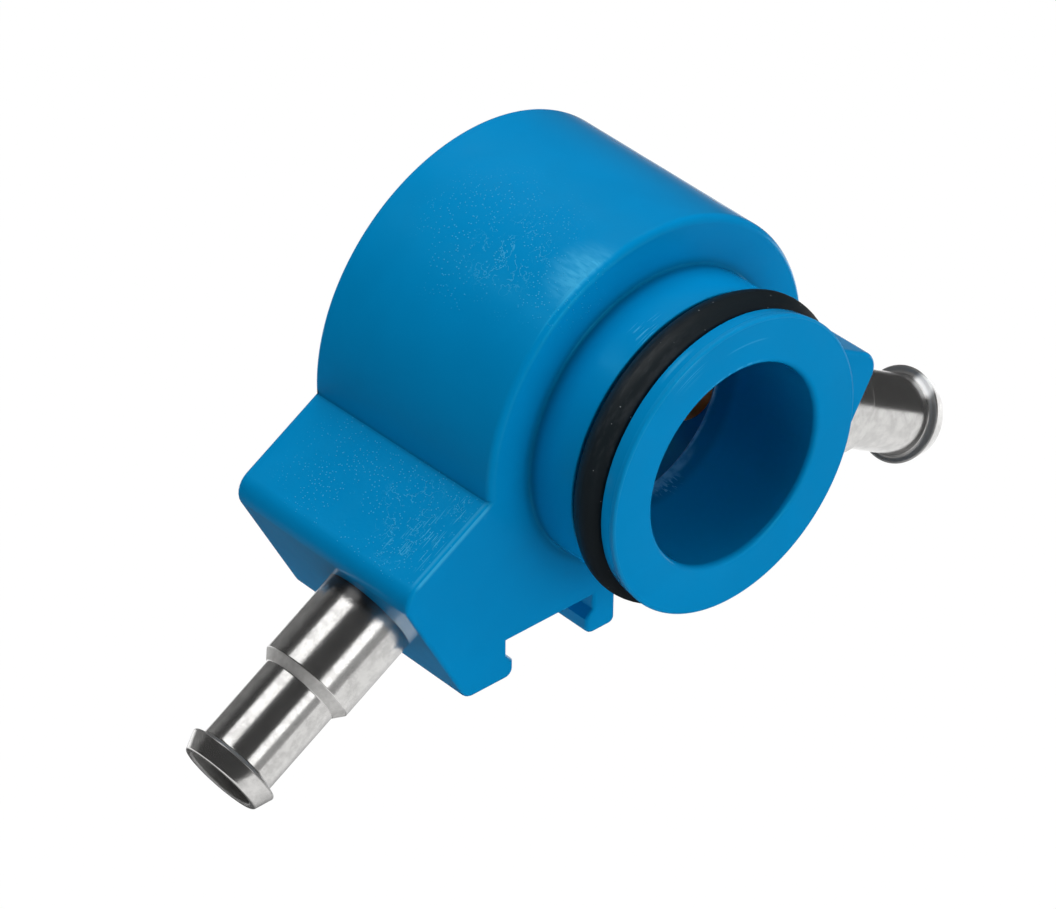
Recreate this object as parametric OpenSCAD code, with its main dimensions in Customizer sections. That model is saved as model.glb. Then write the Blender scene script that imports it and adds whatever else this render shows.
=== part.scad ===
// Ring-shaped pneumatic manifold module with two splayed hose nipples.
// A row of these modules plugs together, spigot into socket, on a pair of rails.
// The bore's axis is Y and the spigot points to -Y. The rail feet point down.
// The origin is on the bore's axis, in the plane of the barrel's front face.

/* [Barrel] */
// Outside diameter of the round barrel
barrel_d = 20; // [19:0.5:24]
// Length of the barrel and the wings, front face to rear face
barrel_l = 12.1; // [11:0.1:16]
// Rounding of the barrel's front edge
front_edge_r = 0.4; // [0.2:0.1:1]
// Rounding of the barrel's rear edge
rear_edge_r = 0.2; // [0.1:0.1:0.6]

/* [Spigot] */
// Diameter of the through bore in the spigot
bore_d = 10.4; // [8:0.1:10.8]
// Outside diameter of the spigot's collar
collar_d = 15.1; // [14.5:0.1:15.6]
// Length of the spigot in front of the barrel
spigot_l = 5.8; // [5:0.1:7]
// Thickness of the flange in front of the seal ring
flange_t = 1; // [0.6:0.1:1.2]
// Amount by which the flange's front edge is wider than the collar, on the diameter
flange_flare = 0.3; // [0:0.05:0.4]
// Rounding of the flange's front edge
flange_edge_r = 0.2; // [0.05:0.05:0.3]
// Rounding of the bore's front rim
bore_rim_r = 0.3; // [0.1:0.05:0.5]
// Chamfer of the bore's rear rim, inside the socket
bore_rear_chamfer = 0.2; // [0.1:0.05:0.4]

/* [Seal ring] */
// Diameter of the seal ring's round section
ring_section_d = 1.8; // [1.5:0.1:2]
// Inside diameter of the seal ring as it sits in its groove
ring_inner_d = 12.4; // [12.1:0.1:12.7]
// Width of the groove beyond the seal ring's section
groove_play = 0.15; // [0.05:0.05:0.4]

/* [Socket] */
// Gap all round between the spigot's flange and the socket of the next module
socket_clearance = 0.1; // [0.05:0.05:0.2]
// Thickness of the wall between the front face and the socket's floor
socket_floor_t = 0.9; // [0.8:0.1:1.5]
// Lead-in chamfer at the socket's mouth
socket_chamfer = 0.6; // [0.2:0.1:0.9]

/* [Wings] */
// Angle by which each nipple and its wing point down
wing_angle = 30; // [25:1:35]
// Distance from the bore's axis to a wing's outer face, along the nipple
wing_reach = 15.3; // [14.5:0.1:17]
// Height of a wing's top face above its nipple's axis
wing_rise = 4.4; // [4:0.1:5.5]
// Rounding of a wing's outer top edge
wing_tip_r = 1.1; // [0.4:0.1:2]

/* [Feet] */
// Depth of the feet's undersides below the bore's axis
foot_drop = 11.25; // [11:0.05:12]
// Depth of the slots' ceilings below the bore's axis
slot_ceiling = 9.1; // [8.8:0.1:9.4]
// Distance from the bore's axis to the middle of each rail slot, sideways
slot_offset = 5.9; // [5.7:0.05:6.2]
// Width inside each rail slot
slot_w = 5.5; // [5.1:0.1:5.8]
// Reach of each hooked lip into the slot
lip_reach = 0.42; // [0.2:0.02:0.6]
// Height of a lip's straight land
lip_land = 0.9; // [0.6:0.1:1.1]
// Height of the slope above a lip's land
lip_slope = 0.45; // [0.3:0.05:0.6]
// Thickness of each inner foot above its lip
inner_foot_t = 1.4; // [1.1:0.1:1.8]
// Rounding of the outer feet's outer edges
foot_outer_r = 0.7; // [0.3:0.1:1.2]
// Rounding of the feet's lower edges beside the rail slots
lip_edge_r = 0.45; // [0.1:0.05:0.5]
// Rounding of the feet's lower edges beside the middle gap
foot_edge_r = 0.35; // [0.1:0.05:0.5]

/* [Nipples] */
// Distance of the nipples behind the barrel's front face
nipple_y = 4.6; // [4.3:0.1:5.5]
// Diameter of a nipple's stem where it leaves the wing
stem_d = 4.88; // [4.6:0.02:5.2]
// Length of the stem outside the wing
stem_l = 4.4; // [3:0.1:6]
// Diameter of the neck that the hose is pushed over
neck_d = 4.02; // [3.6:0.02:4.3]
// Length of the cone between stem and neck
cone_l = 0.55; // [0.3:0.05:1]
// Length of the neck
neck_l = 4.55; // [3:0.05:6]
// Largest diameter of the barb
barb_d = 4.82; // [4.5:0.02:5.2]
// Diameter of the barb at its front end
barb_nose_d = 4.2; // [4:0.05:4.4]
// Length of the barb
barb_l = 1.05; // [0.8:0.05:1.5]
// Rounding of the barb's edges
barb_edge_r = 0.15; // [0.05:0.05:0.25]
// Diameter of the bore through a nipple
nipple_bore_d = 3.5; // [2.6:0.05:3.6]
// Chamfer at the mouth of a nipple's bore
nipple_mouth_chamfer = 0.12; // [0.05:0.01:0.2]
// Distance by which a nipple's inner end stays short of the socket's wall
nipple_setback = 0.15; // [0:0.05:0.4]

/* [Hidden] */
$fn = 128;

// Overlap of a cutting shape past the face that it cuts
cut = 0.5;

flange_d = collar_d + flange_flare;
socket_d = flange_d + 2 * socket_clearance;
groove_w = ring_section_d + groove_play;
groove_front = spigot_l - flange_t;
groove_back = groove_front - groove_w;
ring_mid_r = ring_inner_d / 2 + ring_section_d / 2;
ring_front = groove_front - groove_play / 2 - ring_section_d / 2;

slot_outer_x = slot_offset + slot_w / 2;
slot_inner_x = slot_offset - slot_w / 2;
gap_half_w = slot_inner_x - inner_foot_t;

nipple_inner_end = socket_d / 2 + nipple_setback;
stem_end = wing_reach + stem_l;
neck_start = stem_end + cone_l;
barb_back = neck_start + neck_l;
nipple_end = barb_back + barb_l;

// Directions along a right-hand nipple and square to it, in the front view
along = [cos(wing_angle), -sin(wing_angle)];
square_up = [sin(wing_angle), cos(wing_angle)];
wing_tip = along * wing_reach + square_up * wing_rise;
wing_root = square_up * wing_rise;
outer_foot_corner = wing_tip - square_up * (foot_drop + wing_tip.y) / square_up.y;

function unit(v) = v / norm(v);

// The sharp waste at a corner, outside a round of radius r between two edges.
// to_a and to_b point from the corner along the two edges.
module corner_waste(corner, to_a, to_b, r) {
    a = unit(to_a);
    b = unit(to_b);
    half = acos(a * b) / 2;
    centre = corner + unit(a + b) * r / sin(half);
    reach = r / tan(half);
    difference() {
        polygon([corner - (a + b) * r / 2, corner + a * reach, centre, corner + b * reach]);
        translate(centre) circle(r);
    }
}

// Turns a profile of radius against distance in front of the barrel's face
module turned_on_bore() {
    rotate([90, 0, 0]) rotate_extrude() children();
}

// Half section of the barrel, the collar and the flange as one solid of revolution
module outside_profile() {
    difference() {
        union() {
            translate([0, -barrel_l]) square([barrel_d / 2, barrel_l]);
            square([collar_d / 2, spigot_l - flange_t]);
            polygon([
                [0, groove_front],
                [collar_d / 2, groove_front],
                [flange_d / 2, spigot_l],
                [0, spigot_l],
            ]);
        }
        corner_waste([barrel_d / 2, 0], [-1, 0], [0, -1], front_edge_r);
        corner_waste([barrel_d / 2, -barrel_l], [-1, 0], [0, 1], rear_edge_r);
        corner_waste([flange_d / 2, spigot_l], [-1, 0], [-flange_flare / 2, -flange_t], flange_edge_r);
        translate([ring_inner_d / 2, groove_back]) square([collar_d, groove_w]);
    }
}

// Half section of the space inside: bore, socket and lead-in
module inside_profile() {
    bore_r = bore_d / 2;
    socket_r = socket_d / 2;
    translate([0, -socket_floor_t - cut]) square([bore_r, spigot_l + socket_floor_t + 2 * cut]);
    // Round of the bore's front rim
    corner_waste([bore_r, spigot_l], [1, 0], [0, -1], bore_rim_r);
    // Chamfer of the bore's rear rim
    polygon([
        [bore_r - cut, -socket_floor_t + bore_rear_chamfer + cut],
        [bore_r + bore_rear_chamfer + cut, -socket_floor_t - cut],
        [bore_r - cut, -socket_floor_t - cut],
    ]);
    translate([0, -barrel_l - cut]) square([socket_r, barrel_l - socket_floor_t + cut]);
    polygon([
        [socket_r - cut, -barrel_l + socket_chamfer + cut],
        [socket_r + socket_chamfer + cut, -barrel_l - cut],
        [socket_r - cut, -barrel_l - cut],
    ]);
}

// Front view of one rail slot, with a hooked lip on each side of its mouth
module slot_outline() {
    mouth_low = foot_drop - lip_land;
    wall_low = mouth_low - lip_slope;
    lip_out_x = slot_outer_x - lip_reach;
    lip_in_x = slot_inner_x + lip_reach;
    polygon([
        [slot_inner_x, -slot_ceiling],
        [slot_outer_x, -slot_ceiling],
        [slot_outer_x, -wall_low],
        [lip_out_x, -mouth_low],
        [lip_out_x, -foot_drop - cut],
        [lip_in_x, -foot_drop - cut],
        [lip_in_x, -mouth_low],
        [slot_inner_x, -wall_low],
    ]);
    corner_waste([lip_out_x, -foot_drop], [0, 1], [1, 0], lip_edge_r);
    corner_waste([lip_in_x, -foot_drop], [0, 1], [-1, 0], lip_edge_r);
}

// Front view of the right wing with its two feet
module wing_outline() {
    difference() {
        polygon([
            [0, 0],
            wing_root,
            wing_tip,
            outer_foot_corner,
            [gap_half_w, -foot_drop],
            [gap_half_w, -slot_ceiling],
            [0, -slot_ceiling],
        ]);
        corner_waste(wing_tip, -along, -square_up, wing_tip_r);
        corner_waste(outer_foot_corner, square_up, [-1, 0], foot_outer_r);
        corner_waste([gap_half_w, -foot_drop], [0, 1], [1, 0], foot_edge_r);
        slot_outline();
    }
}

// Both wings, with the lower part of the barrel that the slots cut into
module wings() {
    for (side = [0, 1]) {
        mirror([side, 0, 0])
            translate([0, barrel_l, 0])
            rotate([90, 0, 0])
            linear_extrude(barrel_l)
            wing_outline();
    }
}

module slots() {
    for (side = [0, 1]) {
        mirror([side, 0, 0])
            translate([0, barrel_l + cut, 0])
            rotate([90, 0, 0])
            linear_extrude(barrel_l + 2 * cut)
            slot_outline();
    }
}

// Stands children, drawn along +Z from the bore's axis, on a nipple's axis
module on_nipple_axis(side) {
    mirror([side == "left" ? 1 : 0, 0, 0])
        translate([0, nipple_y, 0])
        rotate([0, 90 + wing_angle, 0])
        children();
}

// The moulded body: barrel, spigot, socket, wings and rail feet in one piece
module body() {
    color([0.0, 0.48, 0.74])
    difference() {
        union() {
            turned_on_bore() outside_profile();
            wings();
        }
        slots();
        turned_on_bore() inside_profile();
        for (side = ["left", "right"]) {
            on_nipple_axis(side) cylinder(d = stem_d, h = wing_reach + cut);
        }
    }
}

// The rubber seal ring in the spigot's groove
module seal_ring() {
    color([0.1, 0.11, 0.12])
    turned_on_bore()
        translate([ring_mid_r, ring_front])
        circle(d = ring_section_d, $fn = 48);
}

// Half section of a turned nipple, radius against distance from the bore's axis
module nipple_profile() {
    bore_r = nipple_bore_d / 2;
    barb_r = barb_d / 2;
    nose_r = barb_nose_d / 2;
    difference() {
        polygon([
            [bore_r, nipple_inner_end],
            [stem_d / 2, nipple_inner_end],
            [stem_d / 2, stem_end],
            [neck_d / 2, neck_start],
            [neck_d / 2, barb_back],
            [barb_r, barb_back],
            [nose_r, nipple_end],
            [bore_r + nipple_mouth_chamfer, nipple_end],
            [bore_r, nipple_end - nipple_mouth_chamfer],
        ]);
        corner_waste([barb_r, barb_back], [-1, 0], [nose_r - barb_r, barb_l], barb_edge_r);
        corner_waste([nose_r, nipple_end], [-1, 0], [barb_r - nose_r, -barb_l], barb_edge_r);
    }
}

module nipple(side) {
    color([0.72, 0.72, 0.71])
    on_nipple_axis(side) rotate_extrude() nipple_profile();
}

module left_nipple() {
    nipple("left");
}

module right_nipple() {
    nipple("right");
}

body();
seal_ring();
left_nipple();
right_nipple();
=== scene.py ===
"""Ring-shaped pneumatic manifold module: the looks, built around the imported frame.

The bore's axis is Y and the spigot points to -Y. Sizes are in metres, apart from the places
and lengths of marks and of the studio, which are in millimetres.
"""

import math

import bpy
from bpy.props import FloatProperty, FloatVectorProperty, IntProperty, PointerProperty
from mathutils import Matrix, Vector


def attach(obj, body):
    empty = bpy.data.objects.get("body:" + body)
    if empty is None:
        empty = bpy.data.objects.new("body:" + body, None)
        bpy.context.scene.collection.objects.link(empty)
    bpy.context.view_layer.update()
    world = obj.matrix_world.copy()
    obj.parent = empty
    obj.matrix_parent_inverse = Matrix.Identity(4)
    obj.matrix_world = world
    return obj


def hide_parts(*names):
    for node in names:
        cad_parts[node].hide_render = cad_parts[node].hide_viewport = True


bl_info = {
    "name": "Manifold Module",
    "version": (1, 0, 0),
    "blender": (4, 5, 0),
    "location": "3D View > Sidebar > Manifold",
    "description": "Builds a ring-shaped manifold module with two hose nipples",
    "category": "Object",
}

MM = 0.001
WHITE = (1.0, 1.0, 1.0, 1.0)
# The frame's only body
BODY = "root"
SIDES = ("left", "right")
# Points closer than this are one, in metres
MERGE = 1e-7
# Angle of one facet of a rounding
FACET = math.radians(12)
# Upper limit of the lengths in the panel
LONGEST_MM = 50.0

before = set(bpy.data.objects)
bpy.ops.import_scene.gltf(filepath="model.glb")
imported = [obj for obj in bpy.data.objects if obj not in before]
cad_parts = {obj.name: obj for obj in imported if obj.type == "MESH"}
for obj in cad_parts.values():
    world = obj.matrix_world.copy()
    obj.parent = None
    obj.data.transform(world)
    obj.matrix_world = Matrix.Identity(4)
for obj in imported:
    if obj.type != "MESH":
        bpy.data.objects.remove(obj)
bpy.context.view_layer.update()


def length(name, description, default_mm):
    """A length property, given here in millimetres and stored in metres."""
    return FloatProperty(
        name=name,
        description=description,
        default=default_mm * MM,
        min=0.0,
        max=LONGEST_MM * MM,
        precision=5,
        subtype="DISTANCE",
        unit="LENGTH",
    )


def colour(name, description, default):
    """A colour property, with linear values."""
    return FloatVectorProperty(
        name=name,
        description=description,
        default=default,
        size=3,
        min=0.0,
        max=1.0,
        subtype="COLOR",
    )


class BodySizes(bpy.types.PropertyGroup):
    """Sizes of the moulded body, as in the part's source."""

    barrel_d: length("Barrel diameter", "Outside diameter of the barrel", 20.0)
    barrel_l: length("Barrel length", "Front face to rear face", 12.1)
    front_edge_r: length("Front edge", "Rounding of the barrel's front edge", 0.4)
    rear_edge_r: length("Rear edge", "Rounding of the barrel's rear edge", 0.2)
    bore_d: length("Bore", "Diameter of the through bore", 10.4)
    collar_d: length("Collar", "Outside diameter of the spigot's collar", 15.1)
    collar_root_r: length("Collar root", "Fillet where the collar meets the barrel", 0.15)
    spigot_l: length("Spigot length", "How far the spigot stands out", 5.8)
    flange_t: length("Flange", "Thickness of the flange", 1.0)
    flange_d: length("Flange diameter", "Outside diameter at the front", 15.4)
    flange_edge_r: length("Flange edge", "Rounding of the flange's front edge", 0.15)
    flange_back_r: length("Flange back edge", "Rounding of its edge to the groove", 0.05)
    bore_rim_r: length("Bore rim", "Rounding of the bore's front rim", 0.3)
    bore_rear_r: length("Bore rear rim", "Rounding of the rim inside the socket", 0.2)
    groove_d: length("Groove", "Diameter of the groove's floor", 12.4)
    groove_w: length("Groove width", "Width of the seal's groove", 1.95)
    groove_edge_r: length("Groove edge", "Rounding of the groove's rear edge", 0.08)
    socket_d: length("Socket", "Diameter of the socket in the back", 15.6)
    socket_floor_t: length("Socket floor", "Wall between front face and socket", 0.9)
    socket_chamfer: length("Socket chamfer", "Lead-in at the socket's mouth", 0.6)
    wing_angle: FloatProperty(
        name="Wing angle",
        description="Angle by which wings and nipples point down",
        default=math.radians(30.0),
        subtype="ANGLE",
        unit="ROTATION",
    )
    wing_reach: length("Wing reach", "Bore's axis to a wing's outer face", 15.3)
    wing_rise: length("Wing rise", "Nipple's axis to the wing's top face", 4.4)
    wing_tip_r: length("Wing tip", "Rounding of the outer top edge", 1.1)
    wing_edge_r: length("Wing edges", "Fine rounding of front and rear edges", 0.22)
    draft: FloatProperty(
        name="Draft",
        description="Share by which the wings shrink towards the rear",
        default=0.013,
        min=0.0,
        max=0.02,
    )
    foot_drop: length("Foot drop", "Bore's axis to the feet's undersides", 11.25)
    slot_ceiling: length("Slot ceiling", "Bore's axis to the slots' ceilings", 9.1)
    slot_offset: length("Slot offset", "Bore's axis to a slot's middle", 5.9)
    slot_w: length("Slot width", "Width inside a slot", 5.5)
    lip_reach: length("Lip reach", "Reach of a lip into the slot", 0.42)
    lip_land: length("Lip land", "Height of a lip's straight land", 0.9)
    lip_slope: length("Lip slope", "Height of the slope above it", 0.45)
    inner_foot_t: length("Inner foot", "Thickness of an inner foot", 1.4)
    foot_outer_r: length("Outer foot", "Rounding of the outer feet", 0.7)
    lip_edge_r: length("Lip edges", "Rounding of the feet beside the slots", 0.45)
    foot_edge_r: length("Foot edges", "Rounding of the feet beside the middle gap", 0.35)
    nipple_y: length("Nipple place", "Nipples behind the front face", 4.6)
    nipple_hole_d: length("Nipple hole", "Diameter of the pressed holes", 4.88)
    nipple_seat: length("Nipple seat", "Bore's axis to the bottoms of the pressed holes", 8.75)
    passage_d: length("Passage", "Diameter of the passages into the socket", 3.6)
    turns: IntProperty(
        name="Turns", description="Facets round the barrel", default=192, min=48, max=256
    )


class NippleSizes(bpy.types.PropertyGroup):
    """Sizes of a turned nipple, along its axis from the bore's axis."""

    inner_end: length("Inner end", "Where the nipple begins", 8.8)
    stem_end: length("Stem end", "Where the stem ends", 19.7)
    neck_start: length("Neck start", "Where the neck begins", 20.25)
    barb_back: length("Barb back", "Where the barb begins", 24.8)
    end: length("End", "Where the nipple ends", 25.84)
    stem_d: length("Stem", "Diameter of the stem", 4.88)
    neck_d: length("Neck", "Diameter of the neck", 4.02)
    barb_d: length("Barb", "Largest diameter of the barb", 4.95)
    nose_d: length("Nose", "Diameter at the front end", 4.2)
    bore_d: length("Bore", "Diameter of the bore", 3.5)
    mouth_r: length("Mouth", "Rounding of the bore's mouth", 0.12)
    barb_root_r: length("Barb root", "Fillet between neck and barb", 0.2)
    barb_edge_r: length("Barb edge", "Rounding of the barb's back edge", 0.1)
    nose_edge_r: length("Nose edge", "Rounding of the front end's edge", 0.14)
    step_r: length("Steps", "Rounding of the stem's step", 0.06)
    turns: IntProperty(
        name="Turns", description="Facets round the nipple", default=96, min=32, max=128
    )


class Finishes(bpy.types.PropertyGroup):
    """Colours of the finishes."""

    plastic: colour("Plastic", "Blue of the moulding", (0.0, 0.2455, 0.56))
    plastic_deep: colour("Plastic, deep", "Blue of its darker swirls", (0.0, 0.2337, 0.535))
    # Painted shade inside the bore and socket
    inside_painted_shade: colour("Plastic, inside", "Blue inside the bore", (0.0, 0.115, 0.31))
    # Painted shade in creases, at the collar's root and in the wing's notch
    crease_painted_shade: colour("Plastic, creases", "Dark blue of creases", (0.0, 0.03, 0.08))
    plastic_gloss: colour("Plastic, gloss", "Tint of its reflections", (0.05, 0.75, 1.0))
    # Pale blue of wear, also used for painted highlights and glints
    wear_and_highlight: colour("Plastic, worn", "Pale blue of specks and scratches", (0.06, 0.43, 0.74))
    # Painted sheen on the bore's rear rim, and a scuff
    sheen_and_scuff: colour("Plastic, bleached", "Whitened edge inside the bore", (0.2, 0.55, 0.88))
    rubber: colour("Rubber", "Black of the seal ring", (0.007, 0.014, 0.019))
    rubber_streaks: colour("Rubber, streaks", "Grey of its streaks", (0.05, 0.056, 0.062))
    dust: colour("Dust", "White dust on the seal ring", (0.3, 0.32, 0.33))
    nickel: colour("Nickel", "Plate on the nipples", (0.56, 0.553, 0.542))
    # Painted shade: the stem's root, the nipple's bore and the barb's shoulder
    painted_shade: colour("Nickel, dark", "Tarnish and shaded places", (0.07, 0.07, 0.07))
    # Painted highlight on the right barb's shoulder
    painted_glint: colour("Nickel, rubbed", "Bright spot on a barb", (0.9, 0.9, 0.9))
    brass: colour("Brass", "Bare metal at the nipples' inner ends", (0.8, 0.47, 0.18))
    floor: colour("Floor", "Colour of the floor", (0.35, 0.35, 0.35))


class ManifoldSettings(bpy.types.PropertyGroup):
    """Everything that a user would change."""

    body: PointerProperty(type=BodySizes)
    nipple: PointerProperty(type=NippleSizes)
    finish: PointerProperty(type=Finishes)


def settings():
    """The settings of this scene."""
    return bpy.context.scene.manifold_settings


# Modelling helpers


def deselect():
    """Leaves edit mode and deselects everything."""
    if bpy.context.object and bpy.context.object.mode == "EDIT":
        bpy.ops.object.mode_set(mode="OBJECT")
    bpy.ops.object.select_all(action="DESELECT")


def pick(piece):
    """Makes the piece the only selected object and the active one."""
    deselect()
    piece.select_set(True)
    bpy.context.view_layer.objects.active = piece


def rounded(corners):
    """Points of an outline, closed and with its corners (x, y, radius) rounded in facets."""
    points = []
    count = len(corners)
    for i, (x, y, radius) in enumerate(corners):
        here = Vector((x, y))
        if radius <= 0:
            points.append(here)
            continue
        before = Vector(corners[i - 1][:2]) - here
        after = Vector(corners[(i + 1) % count][:2]) - here
        half = before.angle(after) / 2
        middle = (before.normalized() + after.normalized()).normalized()
        centre = here + middle * radius / math.sin(half)
        first = here + before.normalized() * radius / math.tan(half) - centre
        last = here + after.normalized() * radius / math.tan(half) - centre
        sweep = math.copysign(math.pi - 2 * half, first.x * last.y - first.y * last.x)
        steps = max(2, round(abs(sweep) / FACET))
        for k in range(steps + 1):
            cos, sin = math.cos(sweep * k / steps), math.sin(sweep * k / steps)
            arm = Vector((first.x * cos - first.y * sin, first.x * sin + first.y * cos))
            points.append(centre + arm)
    return points


def chain(name, points, open_ended=False):
    """Starts a piece from one vertex, in edit mode, and extrudes it along the points."""
    deselect()
    bpy.ops.mesh.primitive_plane_add(size=MM, location=(0, 0, 0))
    piece = bpy.context.object
    piece.name = piece.data.name = name
    bpy.ops.object.mode_set(mode="EDIT")
    bpy.ops.mesh.select_mode(type="VERT")
    bpy.ops.mesh.select_all(action="SELECT")
    bpy.ops.mesh.merge(type="CENTER")
    bpy.ops.transform.translate(value=points[0])
    ends = [] if open_ended else points[:1]
    for here, there in zip(points, points[1:] + ends):
        bpy.ops.mesh.extrude_region_move(TRANSFORM_OT_translate={"value": there - here})
    bpy.ops.mesh.select_all(action="SELECT")
    bpy.ops.mesh.remove_doubles(threshold=MERGE)
    return piece


def close_up(piece):
    """Merges doubles and turns the faces outwards, then leaves edit mode."""
    bpy.ops.mesh.select_all(action="SELECT")
    bpy.ops.mesh.remove_doubles(threshold=MERGE)
    bpy.ops.mesh.normals_make_consistent(inside=False)
    bpy.ops.object.mode_set(mode="OBJECT")
    return piece


def turned(name, points, axis, centre, turns, open_ended=False):
    """Spins a half section round an axis. An open one starts and ends on the axis."""
    piece = chain(name, points, open_ended)
    bpy.ops.mesh.select_all(action="SELECT")
    bpy.ops.mesh.spin(steps=turns, angle=2 * math.pi, center=centre, axis=axis, dupli=False)
    return close_up(piece)


def turned_round_bore(name, section):
    """Spins a half section (radius, distance behind the front face) round the bore's axis."""
    points = [Vector((0, p.y, p.x)) for p in section]
    turns = settings().body.turns
    return turned(name, points, (0, 1, 0), (0, 0, 0), turns, open_ended=True)


def prism(name, outline, start, end, edge_r=0.0, draft=0.0):
    """Extrudes a front view outline (x, z) from y start to y end, with rounded end edges."""
    piece = chain(name, [Vector((p.x, start, p.y)) for p in outline])
    bpy.ops.mesh.edge_face_add()
    bpy.ops.mesh.extrude_region_move(TRANSFORM_OT_translate={"value": (0, end - start, 0)})
    if draft:
        bpy.ops.transform.resize(value=(1 - draft, 1, 1 - draft), center_override=(0, end, 0))
    bpy.ops.mesh.select_all(action="SELECT")
    bpy.ops.mesh.normals_make_consistent(inside=False)
    if edge_r:
        bpy.ops.mesh.select_mode(type="EDGE")
        bpy.ops.mesh.select_all(action="DESELECT")
        bpy.ops.object.mode_set(mode="OBJECT")
        mesh = piece.data
        for edge in mesh.edges:
            one, other = (mesh.vertices[v].co.y for v in edge.vertices)
            edge.select = abs(one - other) < MERGE
        bpy.ops.object.mode_set(mode="EDIT")
        bpy.ops.mesh.bevel(offset=edge_r, segments=4, affect="EDGES", clamp_overlap=False)
    return close_up(piece)


def combine(piece, tool, operation):
    """Applies a Boolean modifier with the tool, which is then deleted."""
    pick(piece)
    modifier = piece.modifiers.new("combine", "BOOLEAN")
    modifier.operation = operation
    modifier.solver = "EXACT"
    modifier.object = tool
    bpy.ops.object.modifier_apply(modifier=modifier.name)
    bpy.data.objects.remove(tool, do_unlink=True)


def drill(piece, direction, diameter, near_end, far_end):
    """Drills a hole on a nipple's axis, between two distances from the bore's axis."""
    deselect()
    root = Vector((0, settings().body.nipple_y, 0))
    bpy.ops.mesh.primitive_cylinder_add(
        vertices=settings().nipple.turns,
        radius=diameter / 2,
        depth=far_end - near_end,
        location=root + direction * (near_end + far_end) / 2,
        rotation=direction.to_track_quat("Z", "Y").to_euler(),
    )
    combine(piece, bpy.context.object, "DIFFERENCE")


def dress(piece, finish):
    """Gives the piece a finish as its only material."""
    piece.data.materials.clear()
    piece.data.materials.append(finish.material)


def smooth(piece, angle):
    """Smooth shading that keeps flat faces flat and sharp edges sharp."""
    pick(piece)
    bpy.ops.object.shade_smooth_by_angle(angle=math.radians(angle))
    modifier = piece.modifiers.new("normals", "WEIGHTED_NORMAL")
    modifier.keep_sharp = True
    modifier.weight = 100
    bpy.ops.object.modifier_apply(modifier=modifier.name)


# Material helpers


def four(rgb):
    """A colour with full alpha."""
    return (*rgb, 1.0)


class Nodes:
    """Adds nodes to a tree. Inputs take plain values or the output sockets of other nodes."""

    def __init__(self, tree):
        self.tree = tree

    def add(self, kind, inputs=None, **options):
        """Adds a node, sets its options and then its inputs."""
        node = self.tree.nodes.new(kind)
        for key, value in options.items():
            setattr(node, key, value)
        for key, value in (inputs or {}).items():
            self.feed(node.inputs[key], value)
        return node

    def feed(self, socket, value):
        if isinstance(value, bpy.types.NodeSocket):
            self.tree.links.new(value, socket)
        else:
            socket.default_value = value

    def maths(self, operation, *values):
        inputs = dict(enumerate(values))
        return self.add("ShaderNodeMath", inputs, operation=operation).outputs[0]

    def vector(self, operation, *values):
        inputs = dict(enumerate(values))
        node = self.add("ShaderNodeVectorMath", inputs, operation=operation)
        numbers = ("DOT_PRODUCT", "DISTANCE", "LENGTH")
        return node.outputs["Value" if operation in numbers else "Vector"]

    def ramp(self, value, low, high, to_low=0.0, to_high=1.0):
        """Smooth step from to_low, where the value is low, to to_high, where it is high."""
        inputs = {
            "Value": value,
            "From Min": low,
            "From Max": high,
            "To Min": to_low,
            "To Max": to_high,
        }
        node = self.add("ShaderNodeMapRange", inputs, interpolation_type="SMOOTHSTEP")
        return node.outputs[0]

    def ramp_mm(self, value, low_mm, high_mm, to_low=0.0, to_high=1.0):
        """A ramp between two lengths in millimetres."""
        return self.ramp(value, low_mm * MM, high_mm * MM, to_low, to_high)

    def choose(self, factor, no, yes):
        """The first number at factor 0, the second at factor 1."""
        inputs = {0: factor, 2: no, 3: yes}
        return self.add("ShaderNodeMix", inputs, data_type="FLOAT").outputs[0]

    def both(self, first, *others):
        """The product, so that every mask has a say."""
        for other in others:
            first = self.maths("MULTIPLY", first, other)
        return first

    def either(self, first, *others):
        """The largest of the masks."""
        for other in others:
            first = self.maths("MAXIMUM", first, other)
        return first


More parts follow.
